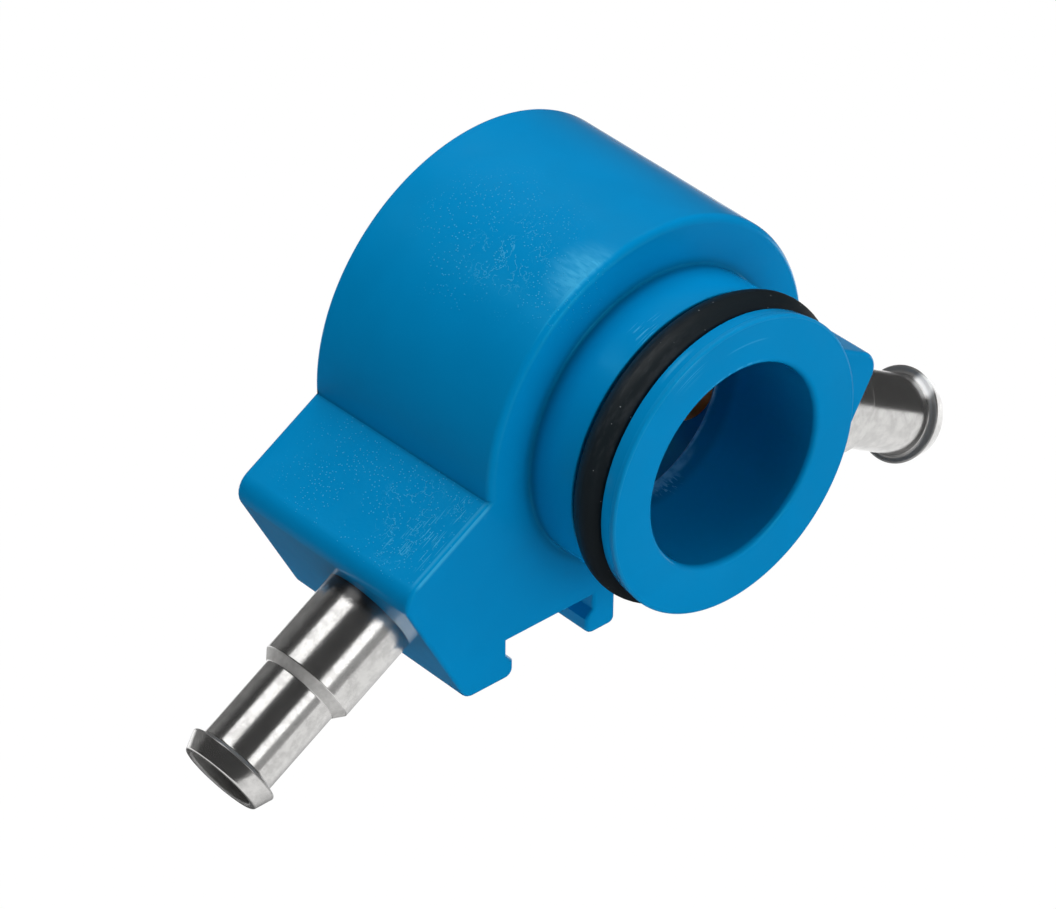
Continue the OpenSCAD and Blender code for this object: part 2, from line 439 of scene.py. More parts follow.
class Finish(Nodes):
    """A node material for one finish, placed by the object's own coordinates."""

    def __init__(self, name):
        self.material = bpy.data.materials.new(name)
        self.material.use_nodes = True
        super().__init__(self.material.node_tree)
        self.shader = next(n for n in self.tree.nodes if n.type == "BSDF_PRINCIPLED")
        self.output = next(n for n in self.tree.nodes if n.type == "OUTPUT_MATERIAL")
        self.place = self.add("ShaderNodeTexCoord").outputs["Object"]

    def shade(self, name, value):
        """Sets or links one socket of the shader."""
        self.feed(self.shader.inputs[name], value)

    def noise(self, place, per_mm, detail=2.0, roughness=0.5, distortion=0.0):
        inputs = {
            "Vector": place,
            "Scale": per_mm / MM,
            "Detail": detail,
            "Roughness": roughness,
            "Distortion": distortion,
        }
        return self.add("ShaderNodeTexNoise", inputs).outputs["Fac"]

    def cells(self, per_mm):
        """Distance to the middle of a scattered cell, and the cell's own random number."""
        node = self.add("ShaderNodeTexVoronoi", {"Vector": self.place, "Scale": per_mm / MM})
        return node.outputs["Distance"], node.outputs["Color"]

    def stretched(self, scale):
        """The place, scaled so that a noise on it draws out where the scale is small."""
        return self.add("ShaderNodeMapping", {"Vector": self.place, "Scale": scale}).outputs[0]

    def mix(self, factor, first, second):
        """Mixes two colours."""
        inputs = {0: factor, 6: first, 7: second}
        return self.add("ShaderNodeMix", inputs, data_type="RGBA").outputs[2]

    def bump(self, height, distance_mm, strength=1.0, normal=None):
        inputs = {"Height": height, "Distance": distance_mm * MM, "Strength": strength}
        if normal:
            inputs["Normal"] = normal
        return self.add("ShaderNodeBump", inputs).outputs[0]

    def line(self, value, at_mm, half_mm):
        """1 where the value is about at_mm, fading to 0 at half_mm from it."""
        away = self.maths("ABSOLUTE", self.maths("SUBTRACT", value, at_mm * MM))
        return self.ramp_mm(away, half_mm, 0.35 * half_mm)

    def near(self, point_mm, reach_mm, fade_mm):
        """1 within reach of a point, fading to 0."""
        away = self.vector("DISTANCE", self.place, [v * MM for v in point_mm])
        return self.ramp_mm(away, reach_mm + fade_mm, reach_mm)

    def near_any(self, spots):
        """1 near any of the spots (point, reach, fade)."""
        return self.either(*(self.near(*spot) for spot in spots))


# Materials

# Spots on the moulding: centre, reach and fade in mm
# Patches of raised specks, whose pale blue is partly painted glint
WING_SPECKS = ((-12.2, 5.2, -2.0), 3.4, 3.4)
BARREL_SPECKS = (
    ((-4.6, 5.8, 8.9), 2.0, 3.4),
    ((-4.9, 1.4, 8.7), 1.2, 1.8),
)
CURLS = (
    ((-11.9, 3.4, -1.8), 0.8, 1.4),
    ((-10.5, 0.9, -0.9), 0.3, 0.9),
    ((-13.4, 2.6, -2.7), 0.5, 0.9),
    ((-4.9, 4.4, 8.7), 0.9, 1.8),
)
DRAG_MARKS = (
    ((-12.9, 1.9, -2.4), 0.9, 1.2),
    ((-10.9, 1.3, -1.2), 0.3, 0.8),
    ((-2.6, -2.5, 7.1), 0.4, 0.9),
)
# Painted highlight streaks on the flange's front edge
FLANGE_STREAKS = ((-3.4, -5.8, 6.95), 0.5, 1.0)
FLANGE_ARC = ((0.5, -5.8, 6.6), 0.7, 0.8)
# Painted highlight lines on the wing's rounded front edge
WING_FRONT_EDGE = ((-12.4, 0.1, -1.7), 2.3, 0.5)
# Painted highlight on the bore's front rim
BORE_MOUTH = ((-0.4, -5.8, 5.3), 1.1, 1.2)
# Painted highlight along the barrel's front edge, and a painted glow beside it
BARREL_FRONT_LINE = ((-4.2, 0.35, 9.05), 0.6, 1.5)
BARREL_FRONT_GLOW = ((-4.0, 0.45, 9.15), 0.4, 2.0)
# Painted sheen on the bore's rear rim, and a scuff
REAR_RIM = ((3.4, 0.8, -4.2), 2.9, 1.4)
REAR_RIM_BAND = ((1.9, 0.7, -4.9), 1.0, 1.2)
REAR_SCUFF = ((1.5, 0.4, -5.0), 0.5, 0.6)
# Painted shade in the notch at the rear of the wing's top
WING_NOTCH = ((-9.98, 12.0, -0.62), 0.1, 0.12)
# Painted shade line where the left wing's top meets the barrel, seen along the bore
WING_CREASE = (-9.98, 0, -0.68)
# On the seal ring's upper left
RING_STREAKS = ((-6.0, -3.9, 6.0), 2.0, 4.5)
# Painted highlight on the right nipple's barb
BARB_SPOT = ((22.42, 3.8, -10.82), 0.42, 0.42)


class BluePlastic(Finish):
    """Blue moulding: faint swirls, raised specks in patches, drag marks and scuffs, with painted
    highlights on edges and rims and painted shade in creases, bore and socket.
    """

    def __init__(self):
        super().__init__("blue_plastic")
        sizes = settings().body
        self.bore_r = sizes.bore_d / 2 / MM
        self.socket_r = sizes.socket_d / 2 / MM
        self.collar_r = sizes.collar_d / 2 / MM
        self.flange_r = sizes.flange_d / 2 / MM
        self.front = -sizes.spigot_l / MM
        self.socket_floor = sizes.socket_floor_t / MM
        self.wing_top = sizes.wing_rise / MM

        # Away from the bore's axis, behind the front face, and square to the left wing's top
        square = (-math.sin(sizes.wing_angle), 0, math.cos(sizes.wing_angle))
        self.flat = self.vector("MULTIPLY", self.place, (1, 0, 1))
        self.away = self.vector("LENGTH", self.flat)
        self.along = self.vector("DOT_PRODUCT", self.place, (0, 1, 0))
        self.rise = self.vector("DOT_PRODUCT", self.place, square)
        on_wing_top = self.line(self.rise, self.wing_top, 0.1)
        self.wing_patch = self.both(self.near(*WING_SPECKS), on_wing_top)

        specks, curls, scratches = self.specks(), self.curls(), self.scratches()
        pale = self.wear_and_painted_highlights(specks, curls, scratches)
        self.paint(pale)
        self.polish(pale)
        self.emboss(self.either(specks, self.both(scratches, 0.6), self.both(curls, 0.8)))

    def specks(self):
        distance, number = self.cells(6.2)
        return self.both(
            self.ramp(distance, 0.3, 0.14),
            self.ramp(number, 0.36, 0.4),
            self.ramp(self.noise(self.place, 0.5), 0.36, 0.48),
            self.either(self.wing_patch, self.near_any(BARREL_SPECKS)),
        )

    def curls(self):
        """Thin wandering lines, where a noise crosses its middle."""
        noise = self.noise(self.place, 1.9, detail=3.0, distortion=0.4)
        off_middle = self.maths("ABSOLUTE", self.maths("SUBTRACT", noise, 0.5))
        return self.both(
            self.ramp(off_middle, 0.022, 0.008),
            self.ramp(self.noise(self.place, 1.1, detail=1.0), 0.45, 0.55),
            self.near_any(CURLS),
        )

    def scratches(self):
        drag = self.noise(self.stretched((0.07, 1.0, 0.07)), 12.0, detail=1.0)
        return self.both(
            self.ramp(drag, 0.6, 0.66),
            self.ramp(self.noise(self.place, 1.1, detail=1.0), 0.42, 0.52),
            self.near_any(DRAG_MARKS),
        )

    def wear_and_painted_highlights(self, specks, curls, scratches):
        """How far the blue gives way to a pale one: wear, and painted highlights on specks, edges
        and rims.
        """
        rings = self.noise(self.add("ShaderNodeCombineXYZ", {"X": self.away}).outputs[0], 13.0)
        # Painted highlight streaks on the flange's front edge
        streaks = self.both(self.ramp(rings, 0.5, 0.62), self.near(*FLANGE_STREAKS))
        arc = self.both(self.line(self.away, 6.6, 0.06), self.near(*FLANGE_ARC))
        # Painted highlight lines on the wing's rounded front edge
        wing_edge = self.both(
            self.ramp_mm(self.rise, self.wing_top - 0.3, self.wing_top - 0.2),
            self.near(*WING_FRONT_EDGE),
        )
        # Painted highlight on the bore's front rim
        mouth = self.both(
            self.line(self.away, self.bore_r + 0.26, 0.07),
            self.ramp_mm(self.along, self.front + 0.3, self.front + 0.15),
            self.near(*BORE_MOUTH),
            self.ramp(self.noise(self.place, 4.0), 0.35, 0.55),
        )
        # Painted highlight along the barrel's front edge, and a streaky painted glow beside it
        front_line = self.both(self.near(*BARREL_FRONT_LINE), self.line(self.along, 0.42, 0.2))
        brushed = self.noise(self.stretched((1.0, 0.2, 1.0)), 5.0)
        front_glow = self.both(
            self.near(*BARREL_FRONT_GLOW),
            self.ramp_mm(self.along, 0.1, 0.4),
            self.ramp(brushed, 0.3, 0.7, 0.35, 0.85),
        )
        # Specks get the pale blue as a painted glint, scratches and curls as wear; streaks, edge
        # lines, rim and front marks are painted highlights
        return self.either(
            self.both(specks, 0.55),
            self.both(curls, 0.5),
            self.both(scratches, 0.6),
            self.both(streaks, 0.45),
            self.both(arc, 0.3),
            self.both(wing_edge, self.line(self.along, 0.05, 0.06), 0.6),
            self.both(wing_edge, self.line(self.along, 0.28, 0.1), 0.35),
            self.both(mouth, 0.5),
            self.both(front_line, 0.6),
            front_glow,
        )

    def inside(self):
        """Painted shade: how far the blue gives way to a darker one inside socket and bore."""
        socket = self.both(
            self.ramp_mm(self.away, self.socket_r + 0.15, self.socket_r + 0.05),
            self.ramp_mm(self.along, self.socket_floor - 0.1, self.socket_floor + 0.05),
        )
        bore = self.ramp_mm(self.away, self.bore_r + 0.25, self.bore_r)
        return self.either(self.both(socket, 0.5), self.both(bore, 0.15))

    def creases(self):
        """Painted shade: how far the blue gives way to a dark one where little light gets in."""
        from_crease = self.vector("DISTANCE", self.flat, Vector(WING_CREASE) * MM)
        collar_root = self.both(
            self.ramp_mm(self.away, self.collar_r + 0.55, self.collar_r + 0.05),
            self.ramp_mm(self.along, -0.7, -0.1),
            self.ramp_mm(self.along, 0.8, 0.6),
        )
        return self.either(
            self.both(self.ramp_mm(from_crease, 0.2, 0.05), 0.2),
            self.both(collar_root, 0.3),
            self.near(*WING_NOTCH),
        )

    def sheen_and_scuff(self):
        """A painted sheen on the bore's rear rim, and a scuff on the bore's wall before it."""
        rim = self.either(
            self.both(
                self.line(self.away, self.bore_r + 0.13, 0.2),
                self.line(self.along, self.socket_floor - 0.1, 0.28),
            ),
            self.both(
                self.line(self.along, self.socket_floor - 0.3, 0.5),
                self.near(*REAR_RIM_BAND),
                0.45,
            ),
        )
        uneven = self.ramp(self.noise(self.place, 2.2, detail=3.0), 0.3, 0.6, 0.35, 1.0)
        brushed = self.noise(self.stretched((1.0, 0.25, 0.25)), 9.0)
        scuff = self.both(self.ramp(brushed, 0.52, 0.6), self.near(*REAR_SCUFF), 0.4)
        return self.either(self.both(rim, self.near(*REAR_RIM), uneven), scuff)

    def paint(self, pale):
        look = settings().finish
        swirl = self.noise(self.place, 0.16, detail=4.0, roughness=0.55, distortion=0.6)
        swirl = self.ramp(swirl, 0.35, 0.65)
        base = self.mix(swirl, four(look.plastic_deep), four(look.plastic))
        # Painted shade inside and in creases, then pale wear and painted highlights, then the
        # rim's painted sheen
        base = self.mix(self.inside(), base, four(look.inside_painted_shade))
        base = self.mix(self.creases(), base, four(look.crease_painted_shade))
        base = self.mix(pale, base, four(look.wear_and_highlight))
        base = self.mix(self.sheen_and_scuff(), base, four(look.sheen_and_scuff))
        self.shade("Base Color", base)

    def polish(self, pale):
        cloud = self.noise(self.place, 0.7, detail=3.0)
        brim = self.both(
            self.ramp_mm(self.away, self.flange_r - 0.2, self.flange_r - 0.1),
            self.ramp_mm(self.along, self.front + 0.4, self.front + 0.2),
        )
        coarse = self.either(self.both(pale, 0.1), self.both(brim, 0.35))
        rough = self.maths("ADD", self.ramp(cloud, 0.3, 0.7, 0.15, 0.21), coarse)
        self.shade("Roughness", rough)
        self.shade("Specular IOR Level", 0.5)
        self.shade("Specular Tint", four(settings().finish.plastic_gloss))

    def emboss(self, raised):
        skin = self.noise(self.place, 9.0, detail=3.0, roughness=0.6)
        normal = self.bump(skin, 0.004, strength=0.2)
        grain = self.noise(self.place, 5.0, detail=3.0, roughness=0.6)
        grain = self.both(grain, self.wing_patch)
        normal = self.bump(grain, 0.012, strength=0.5, normal=normal)
        self.shade("Normal", self.bump(raised, 0.02, strength=0.7, normal=normal))


class BlackRubber(Finish):
    """Black rubber with a fine skin, grey streaks along the ring and a little white dust."""

    def __init__(self):
        super().__init__("black_rubber")
        look = settings().finish
        drawn_out = self.noise(self.stretched((0.5, 2.0, 0.5)), 2.5, detail=4.0, roughness=0.6)
        streaks = self.ramp(drawn_out, 0.45, 0.75)
        greyed = self.both(streaks, self.near(*RING_STREAKS), 0.4)
        distance, number = self.cells(2.4)
        dust = self.both(self.ramp(distance, 0.1, 0.05), self.ramp(number, 0.62, 0.66), 0.7)
        base = self.mix(greyed, four(look.rubber), four(look.rubber_streaks))
        self.shade("Base Color", self.mix(dust, base, four(look.dust)))
        self.shade("Roughness", self.ramp(streaks, 0.0, 1.0, 0.5, 0.6))
        self.shade("Specular IOR Level", 0.35)
        skin = self.noise(self.place, 12.0, detail=3.0)
        self.shade("Normal", self.bump(skin, 0.006, strength=0.5))


class NickelPlate(Finish):
    """Bright plate, mottled and turned, over brass that is bare inside and at the inner end, with
    painted shade at the stem's root, in the bore and on the barb's shoulder, and a painted
    highlight on one barb.
    """

    def __init__(self, name, direction):
        super().__init__(name)
        self.sizes = settings().nipple
        self.root = Vector((0, settings().body.nipple_y, 0))
        # Along the nipple's axis, and away from it
        self.along = self.vector("DOT_PRODUCT", self.place, direction)
        scaled = {0: direction, "Scale": self.along}
        onto = self.add("ShaderNodeVectorMath", scaled, operation="SCALE").outputs[0]
        self.away = self.vector("DISTANCE", self.place, self.vector("ADD", onto, self.root))
        self.paint()
        self.shade("Normal", self.turning_marks())

    def painted_shade(self):
        """Painted shade for the wing's shadow and dark reflection: an uneven dark edge where the
        stem leaves the wing, away from its front.
        """
        wing = settings().body.wing_reach
        behind = self.vector("DOT_PRODUCT", self.place, (0, 1, 0))
        behind = self.ramp(behind, self.root.y - 2.2 * MM, self.root.y - 1.2 * MM)
        cloud = self.noise(self.place, 2.5, detail=4.0, roughness=0.7)
        uneven = self.maths("ADD", self.along, self.both(cloud, 0.7 * MM))
        return self.both(self.ramp(uneven, wing + 1.2 * MM, wing + 0.75 * MM), behind)

    def cone(self):
        """The step between stem and neck."""
        start, end = self.sizes.stem_end, self.sizes.neck_start
        edge = 0.08 * MM
        return self.both(
            self.ramp(self.along, start, start + edge), self.ramp(self.along, end, end - edge)
        )

    def painted_glint(self):
        """A painted highlight: a bright matt spot on the barb's shoulder."""
        back = self.sizes.barb_back
        beside_neck = self.ramp(self.along, back - 0.35 * MM, back - 0.1 * MM)
        return self.both(self.near(*BARB_SPOT), beside_neck)

    def paint(self):
        sizes = self.sizes
        look = settings().finish
        bore_r = sizes.bore_d / 2
        inside = self.ramp(self.away, bore_r + 0.15 * MM, bore_r + 0.05 * MM)
        deep = self.ramp(self.along, sizes.end - 4.0 * MM, sizes.end - 6.0 * MM)
        end = self.ramp(self.along, sizes.inner_end + 0.4 * MM, sizes.inner_end + 0.2 * MM)
        bare = self.either(end, self.both(inside, deep))
        shoulder = self.line(self.along, sizes.barb_back / MM, 0.17)
        painted_shade, cone, painted_glint = self.painted_shade(), self.cone(), self.painted_glint()
        # Painted shade inside the bore, on the barb's shoulder and at the stem's root
        dark = self.either(self.both(inside, 0.5), self.both(shoulder, 0.55), painted_shade)
        matt = self.either(
            self.both(shoulder, 0.6),
            inside,
            end,
            self.both(painted_shade, 0.3),
            self.both(cone, 0.45),
        )

        cloud = self.noise(self.place, 1.6, detail=5.0, roughness=0.65)
        mottled = four([c * 0.82 for c in look.nickel])
        plate = self.mix(self.ramp(cloud, 0.35, 0.65), four(look.nickel), mottled)
        plate = self.mix(dark, plate, four(look.painted_shade))
        # Painted highlight on the barb's shoulder
        plate = self.mix(painted_glint, plate, four(look.painted_glint))
        self.shade("Base Color", self.mix(bare, plate, four(look.brass)))

        metallic = self.ramp(matt, 0.0, 1.0, 0.96, 0.45)
        self.shade("Metallic", self.choose(painted_glint, metallic, 0.1))
        polish = self.ramp(cloud, 0.3, 0.7, 0.14, 0.2)
        coarse = self.either(self.both(cone, 0.4), self.both(matt, 0.25))
        self.shade("Roughness", self.maths("ADD", polish, coarse))

    def turning_marks(self):
        rings = self.add(
            "ShaderNodeTexNoise",
            {"W": self.along, "Scale": 9.0 / MM, "Detail": 3.0},
            noise_dimensions="1D",
        ).outputs["Fac"]
        normal = self.bump(rings, 0.0015, strength=0.6)
        dents = self.noise(self.place, 5.0, detail=4.0, roughness=0.6)
        return self.bump(dents, 0.004, strength=0.6, normal=normal)


# Pieces


def outside_section(s):
    """Half section of barrel, collar and flange: (radius, distance behind the front face)."""
    front = -s.spigot_l
    flange_back = front + s.flange_t
    groove_back = flange_back + s.groove_w
    return rounded(
        [
            (0.0, front, 0.0),
            (s.flange_d / 2, front, s.flange_edge_r),
            (s.collar_d / 2, flange_back, s.flange_back_r),
            (s.groove_d / 2, flange_back, 0.0),
            (s.groove_d / 2, groove_back, 0.0),
            (s.collar_d / 2, groove_back, s.groove_edge_r),
            (s.collar_d / 2, 0.0, s.collar_root_r),
            (s.barrel_d / 2, 0.0, s.front_edge_r),
            (s.barrel_d / 2, s.barrel_l, s.rear_edge_r),
            (0.0, s.barrel_l, 0.0),
        ]
    )


def inside_points(s):
    """The inside section, with the bore's two rims rounded outwards."""
    past = 0.5 * MM
    bore_r = s.bore_d / 2
    socket_r = s.socket_d / 2
    front = -s.spigot_l
    steps = 6
    turns = [math.pi / 2 * k / steps for k in range(steps + 1)]
    points = [Vector((0.0, front - past)), Vector((bore_r + s.bore_rim_r, front - past))]
    for turn in turns:
        radius = bore_r + s.bore_rim_r * (1 - math.sin(turn))
        points.append(Vector((radius, front + s.bore_rim_r * (1 - math.cos(turn)))))
    for turn in turns:
        radius = bore_r + s.bore_rear_r * (1 - math.cos(turn))
        rear = s.socket_floor_t - s.bore_rear_r * (1 - math.sin(turn))
        points.append(Vector((radius, rear)))
    mouth = s.barrel_l - s.socket_chamfer
    points += [
        Vector((socket_r, s.socket_floor_t)),
        Vector((socket_r, mouth)),
        Vector((socket_r + s.socket_chamfer + past, s.barrel_l + past)),
        Vector((0.0, s.barrel_l + past)),
    ]
    return points


def wing_corners(s):
    """Front view of both wings with their slots, from the right wing's root round."""
    along = Vector((math.cos(s.wing_angle), -math.sin(s.wing_angle)))
    square = Vector((math.sin(s.wing_angle), math.cos(s.wing_angle)))
    tip = along * s.wing_reach + square * s.wing_rise
    root = square * s.wing_rise
    corner = tip - square * (s.foot_drop + tip.y) / square.y
    gap = s.slot_offset - s.slot_w / 2 - s.inner_foot_t
    right = [
        (root.x, root.y, 0.0),
        (tip.x, tip.y, s.wing_tip_r),
        (corner.x, corner.y, s.foot_outer_r),
        *slot_corners(s),
        (gap, -s.foot_drop, s.foot_edge_r),
        (gap, -s.slot_ceiling, 0.0),
    ]
    return right + mirrored(right)


def slot_corners(s):
    """The slot's outline from its outer mouth edge, up and round to the inner one."""
    outer = s.slot_offset + s.slot_w / 2
    inner = s.slot_offset - s.slot_w / 2
    land_top = -(s.foot_drop - s.lip_land)
    wall_low = land_top + s.lip_slope
    return [
        (outer - s.lip_reach, -s.foot_drop, s.lip_edge_r),
        (outer - s.lip_reach, land_top, 0.0),
        (outer, wall_low, 0.0),
        (outer, -s.slot_ceiling, 0.0),
        (inner, -s.slot_ceiling, 0.0),
        (inner, wall_low, 0.0),
        (inner + s.lip_reach, land_top, 0.0),
        (inner + s.lip_reach, -s.foot_drop, s.lip_edge_r),
    ]


def slot_room(s):
    """A box round a slot, where the barrel gives way to the wings' own rounded edges."""
    spare = 0.4 * MM
    outer = s.slot_offset + s.slot_w / 2
    inner = s.slot_offset - s.slot_w / 2 - spare
    top = -(s.slot_ceiling - spare)
    low = -(s.foot_drop + spare)
    return [(outer, low, 0.0), (outer, top, 0.0), (inner, top, 0.0), (inner, low, 0.0)]


def mirrored(corners):
    """The same corners on the other side, in the order that closes the outline."""
    return [(-x, y, r) for x, y, r in reversed(corners)]


def nipple_direction(side):
    """The nipple's axis, pointing outwards."""
    angle = settings().body.wing_angle
    return Vector((math.cos(angle) * (-1 if side == "left" else 1), 0, -math.sin(angle)))


class MANIFOLD_OT_body(bpy.types.Operator):
    """Models the moulded body: turned barrel and spigot, wings, slots, socket and holes"""

    bl_idname = "manifold.body"
    bl_label = "Moulded body"

    def execute(self, context):
        s = settings().body
        past = 1.0 * MM
        body = turned_round_bore("moulded_body", outside_section(s))
        room = slot_room(s)
        for corners in (room, mirrored(room)):
            tool = prism("slot_tool", rounded(corners), -past, s.barrel_l + past)
            combine(body, tool, "DIFFERENCE")
        outline = rounded(wing_corners(s))
        wings = prism("wings", outline, 0.0, s.barrel_l, s.wing_edge_r, s.draft)
        combine(body, wings, "UNION")
        combine(body, turned_round_bore("inside_tool", inside_points(s)), "DIFFERENCE")
        inside_socket = s.socket_d / 2 - 2 * MM
        for side in SIDES:
            direction = nipple_direction(side)
            drill(body, direction, s.passage_d, inside_socket, s.nipple_seat + past)
            drill(body, direction, s.nipple_hole_d, s.nipple_seat, s.wing_reach + past)
        smooth(body, angle=32.0)
        dress(body, BluePlastic())
        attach(body, BODY)
        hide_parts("body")
        return {"FINISHED"}


class MANIFOLD_OT_seal_ring(bpy.types.Operator):
    """Gives the seal ring its rubber"""

    bl_idname = "manifold.seal_ring"
    bl_label = "Seal ring"

    def execute(self, context):
        dress(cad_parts["seal_ring"], BlackRubber())
        return {"FINISHED"}


class MANIFOLD_OT_nipples(bpy.types.Operator):
    """Turns the two hose nipples"""

    bl_idname = "manifold.nipples"
    bl_label = "Hose nipples"

    def execute(self, context):
        s = settings().nipple
        corners = rounded(
            [
                (s.bore_d / 2, s.inner_end, s.step_r),
                (s.stem_d / 2, s.inner_end, s.step_r),
                (s.stem_d / 2, s.stem_end, s.step_r),
                (s.neck_d / 2, s.neck_start, s.step_r),
                (s.neck_d / 2, s.barb_back, s.barb_root_r),
                (s.barb_d / 2, s.barb_back, s.barb_edge_r),
                (s.nose_d / 2, s.end, s.nose_edge_r),
                (s.bore_d / 2, s.end, s.mouth_r),
            ]
        )
        root = Vector((0, settings().body.nipple_y, 0))
        for side in SIDES:
            direction = nipple_direction(side)
            points = [root + direction * p.y + Vector((0, -p.x, 0)) for p in corners]
            name = side + "_hose_nipple"
            piece = turned(name, points, direction, root, s.turns)
            smooth(piece, angle=28.0)
            dress(piece, NickelPlate(name + "_plate", direction))
            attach(piece, BODY)
            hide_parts(side + "_nipple")
        return {"FINISHED"}


# Studio, in millimetres and degrees

FLOOR_Z = -60.0
FLOOR_R = 260.0
# The floor's glow for the camera and the glow's share. With the rest, the floor's own shading,
# it comes to white beside the object
FLOOR_GLOW = 1.06
FLOOR_GLOW_SHARE = 0.92
CARD_Z = -59.8
CARD_WIDTH = 600.0
# Middle of the object's shade on the card
CARD_SHADE = (-15, 45, FLOOR_Z)
# Level direction away from the camera
REARWARD = (0.6, 0.8, 0.0)

# What matt surfaces see: pale areas of the room (azimuth from +X, elevation, level) and of the
# table (x, y, reach, level)
ROOM_LIGHT = (
    (0, 90, 0.38),
    (45, 60, 2.96),
    (135, 60, 1.56),
    (270, 30, 0.56),
    (315, 30, 0.52),
    (270, 5, 2.28),
    (315, 5, 0.7),
)
ROOM_LIGHT_REACH = 34.0
TABLE_LIGHT = (
    (-39, 39, 50, 3.9),
    (-55, 0, 50, 0.3),
    (-39, -39, 50, 1.5),
    (-150, 0, 90, 4.0),
    (0, -150, 90, 6.2),
    (106, -106, 90, 2.0),
    (150, 0, 90, 3.5),
)

# What glossy surfaces see: a dark room with pale patches (direction, angle of the full level,
# angle where it ends, level)
ROOM_GLOSS = 0.048
GLOSS_PATCHES = (
    ((0, 1, 0), 5, 40, 0.2),
    ((0.15, -1, -0.1), 15, 40, 0.4),
)

# Name, centre, aim, width, height, radiance
SOFTBOXES = (
    ("top_box", (-70, 45, 190), (-2, 2, 0), 110, 170, 1.5),
    ("front_box", (-5, -260, 95), (0, 0, 0), 120, 95, 1.6),
)

# Fitted to the outlines in the photo
CAMERA_PLACE = (-236.0208, -240.1614, 234.7461)
CAMERA_AZIMUTH = -43.5546
CAMERA_ELEVATION = 35.1855
CAMERA_ROLL = 1.523
CAMERA_LENS = 301.315
CAMERA_SENSOR = 36.0
CAMERA_CLIP = (50.0, 5000.0)


class Glowing(Finish):
    """A material that can glow and be seen through."""

    def glow(self, level):
        inputs = {"Color": WHITE, "Strength": level}
        return self.add("ShaderNodeEmission", inputs).outputs[0]

    def clear(self):
        return self.add("ShaderNodeBsdfTransparent").outputs[0]

    def blend(self, factor, first, second):
        inputs = {0: factor, 1: first, 2: second}
        return self.add("ShaderNodeMixShader", inputs).outputs[0]

    def rearward(self):
        """How far a place lies behind the bore's axis, seen from the camera."""
        return self.vector("DOT_PRODUCT", self.place, REARWARD)

    def give_to(self, piece, surface):
        self.feed(self.output.inputs["Surface"], surface)
        self.material.cycles.emission_sampling = "NONE"
        piece.data.materials.append(self.material)


def named(name):
    """Names the active object and applies its transform."""
    piece = bpy.context.object
    piece.name = name
    bpy.ops.object.transform_apply(location=True, rotation=True, scale=True)
    return piece


def floor_piece():
    """White to the camera, lit spots for matt surfaces, and dark near the object for gloss."""
    deselect()
    bpy.ops.mesh.primitive_circle_add(
        vertices=96, radius=FLOOR_R * MM, fill_type="NGON", location=(0, 0, FLOOR_Z * MM)
    )
    floor = named("floor")
    f = Glowing("pale_floor")
    f.shade("Roughness", 0.9)
    f.shade("Specular IOR Level", 0.1)
    tone = settings().finish.floor
    cloud = f.noise(f.place, 0.02)
    f.shade("Base Color", f.mix(cloud, four([c * 0.98 for c in tone]), four(tone)))

    matt_level = 0.0
    for x, y, reach, level in TABLE_LIGHT:
        away = f.vector("DISTANCE", f.place, Vector((x, y, FLOOR_Z)) * MM)
        matt_level = f.maths("ADD", f.ramp_mm(away, reach, 0.0, 0.0, level), matt_level)
    # Gloss sees the table dark, with a bright band from 50 to 170 mm behind the object
    rear = f.rearward()
    gloss_level = f.both(f.ramp_mm(rear, 50, 100, 0.03, 1.5), f.ramp_mm(rear, 170, 110, 0.12, 1.0))
    path = f.add("ShaderNodeLightPath")
    level = f.choose(path.outputs["Is Glossy Ray"], matt_level, gloss_level)
    level = f.choose(path.outputs["Is Camera Ray"], level, FLOOR_GLOW)
    lit = f.blend(FLOOR_GLOW_SHARE, f.shader.outputs[0], f.glow(level))
    underside = f.add("ShaderNodeNewGeometry").outputs["Backfacing"]
    f.give_to(floor, f.blend(underside, lit, f.clear()))


def metal_card(pieces):
    """The pale table that only the metal pieces mirror, darker where the object shades it."""
    deselect()
    bpy.ops.mesh.primitive_plane_add(size=CARD_WIDTH * MM, location=(0, 0, CARD_Z * MM))
    card = named("metal_card")
    f = Glowing("metal_card")
    from_shade = f.vector("DISTANCE", f.place, Vector(CARD_SHADE) * MM)
    # It ends where the floor's bright band begins
    level = f.both(
        f.ramp_mm(from_shade, 15, 75, 0.06, 1.15), f.ramp_mm(f.rearward(), 50, 110, 1.0, 0.0)
    )
    f.give_to(card, f.add("ShaderNodeAddShader", {0: f.glow(level), 1: f.clear()}).outputs[0])
    card.visible_camera = False
    card.visible_diffuse = False
    card.visible_shadow = False
    receivers = bpy.data.collections.new("metal_card_receivers")
    for piece in pieces:
        receivers.objects.link(piece)
    card.light_linking.receiver_collection = receivers


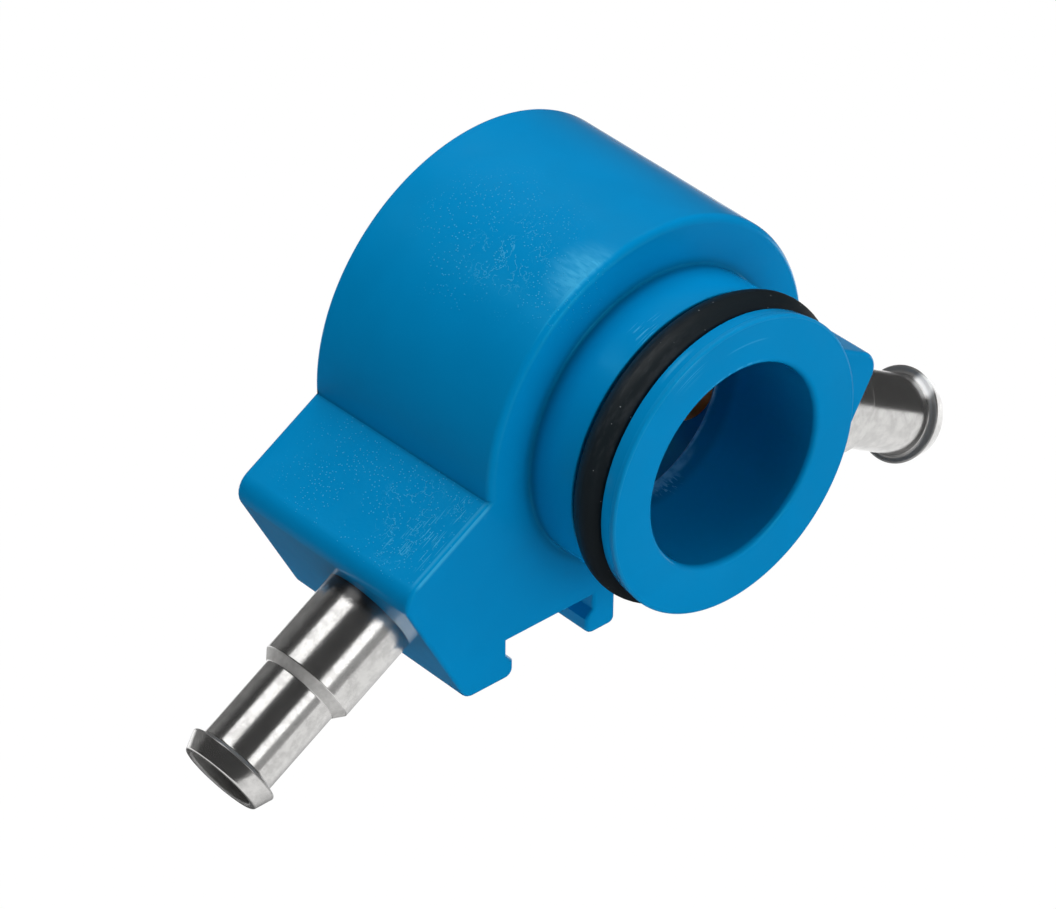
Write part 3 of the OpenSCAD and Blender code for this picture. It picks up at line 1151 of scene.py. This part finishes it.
def studio_world():
    """White to the camera, the room's light for matt surfaces, and a dark room for gloss."""
    world = bpy.data.worlds.new("studio")
    bpy.context.scene.world = world
    world.use_nodes = True
    world.cycles.sampling_method = "NONE"
    world.node_tree.nodes.clear()
    nodes = Nodes(world.node_tree)
    direction = nodes.add("ShaderNodeTexCoord").outputs["Generated"]

    def patch(towards, full, end, level):
        """A round patch, with its full level inside one angle and none beyond the other."""
        dot = nodes.vector("DOT_PRODUCT", direction, Vector(towards).normalized())
        widest, narrowest = math.cos(math.radians(end)), math.cos(math.radians(full))
        return nodes.ramp(dot, widest, narrowest, 0.0, level)

    gloss_level = ROOM_GLOSS
    for glow in GLOSS_PATCHES:
        gloss_level = nodes.maths("ADD", patch(*glow), gloss_level)
    matt_level = 0.0
    for azimuth, elevation, level in ROOM_LIGHT:
        turn = Matrix.Rotation(math.radians(azimuth), 3, "Z")
        tilt = Matrix.Rotation(math.radians(-elevation), 3, "Y")
        towards = turn @ tilt @ Vector((1, 0, 0))
        matt_level = nodes.maths("ADD", patch(towards, 0, ROOM_LIGHT_REACH, level), matt_level)
    path = nodes.add("ShaderNodeLightPath")
    level = nodes.choose(path.outputs["Is Glossy Ray"], matt_level, gloss_level)
    level = nodes.choose(path.outputs["Is Camera Ray"], level, 1.0)
    back = nodes.add("ShaderNodeBackground", {"Color": WHITE, "Strength": level})
    nodes.add("ShaderNodeOutputWorld", {"Surface": back.outputs[0]})


def softbox(name, centre, aim, width, height, radiance):
    """A rectangular lamp. Its power follows from its size and radiance."""
    centre = Vector(centre) * MM
    aim = Vector(aim) * MM
    data = bpy.data.lights.new(name, "AREA")
    data.shape = "RECTANGLE"
    data.size = width * MM
    data.size_y = height * MM
    data.energy = 4 * radiance * data.size * data.size_y
    lamp = bpy.data.objects.new(name, data)
    lamp.location = centre
    lamp.rotation_euler = (centre - aim).to_track_quat("Z", "Y").to_euler()
    bpy.context.scene.collection.objects.link(lamp)


def photo_camera():
    """The camera at the photo's angle, with its roll."""
    azimuth, elevation, roll = (
        math.radians(angle) for angle in (CAMERA_AZIMUTH, CAMERA_ELEVATION, CAMERA_ROLL)
    )
    back = Vector(
        (
            math.sin(azimuth) * math.cos(elevation),
            -math.cos(azimuth) * math.cos(elevation),
            math.sin(elevation),
        )
    )
    level = Vector((0, 0, 1)).cross(back).normalized()
    upright = back.cross(level)
    right = level * math.cos(roll) + upright * math.sin(roll)
    up = upright * math.cos(roll) - level * math.sin(roll)
    data = bpy.data.cameras.new("photo_camera")
    data.lens = CAMERA_LENS
    data.sensor_width = CAMERA_SENSOR
    data.sensor_fit = "HORIZONTAL"
    data.clip_start, data.clip_end = (distance * MM for distance in CAMERA_CLIP)
    camera = bpy.data.objects.new("photo_camera", data)
    bpy.context.scene.collection.objects.link(camera)
    turn = Matrix((right, up, back)).transposed().to_4x4()
    camera.matrix_world = Matrix.Translation(Vector(CAMERA_PLACE) * MM) @ turn
    bpy.context.scene.camera = camera


class MANIFOLD_OT_stage(bpy.types.Operator):
    """Sets up floor, studio light and camera"""

    bl_idname = "manifold.stage"
    bl_label = "Studio"

    def execute(self, context):
        floor_piece()
        metal_card([bpy.data.objects[side + "_hose_nipple"] for side in SIDES])
        studio_world()
        for box in SOFTBOXES:
            softbox(*box)
        photo_camera()
        context.scene.view_settings.view_transform = "Standard"
        return {"FINISHED"}


class MANIFOLD_PT_panel(bpy.types.Panel):
    """Lists the pieces"""

    bl_idname = "MANIFOLD_PT_panel"
    bl_label = "Manifold"
    bl_space_type = "VIEW_3D"
    bl_region_type = "UI"
    bl_category = "Manifold"

    def draw(self, context):
        layout = self.layout
        for operator in OPERATORS:
            layout.operator(operator.bl_idname)
        for group in ("body", "nipple", "finish"):
            box = layout.box()
            values = getattr(context.scene.manifold_settings, group)
            for name in values.bl_rna.properties.keys():
                if name not in ("rna_type", "name"):
                    box.prop(values, name)


OPERATORS = (MANIFOLD_OT_body, MANIFOLD_OT_seal_ring, MANIFOLD_OT_nipples, MANIFOLD_OT_stage)
CLASSES = (BodySizes, NippleSizes, Finishes, ManifoldSettings, *OPERATORS, MANIFOLD_PT_panel)


def register():
    for cls in CLASSES:
        bpy.utils.register_class(cls)
    bpy.types.Scene.manifold_settings = PointerProperty(type=ManifoldSettings)


def unregister():
    del bpy.types.Scene.manifold_settings
    for cls in reversed(CLASSES):
        bpy.utils.unregister_class(cls)


def main():
    register()
    bpy.ops.manifold.body()
    bpy.ops.manifold.seal_ring()
    bpy.ops.manifold.nipples()
    bpy.ops.manifold.stage()


if __name__ == "__main__":
    main()
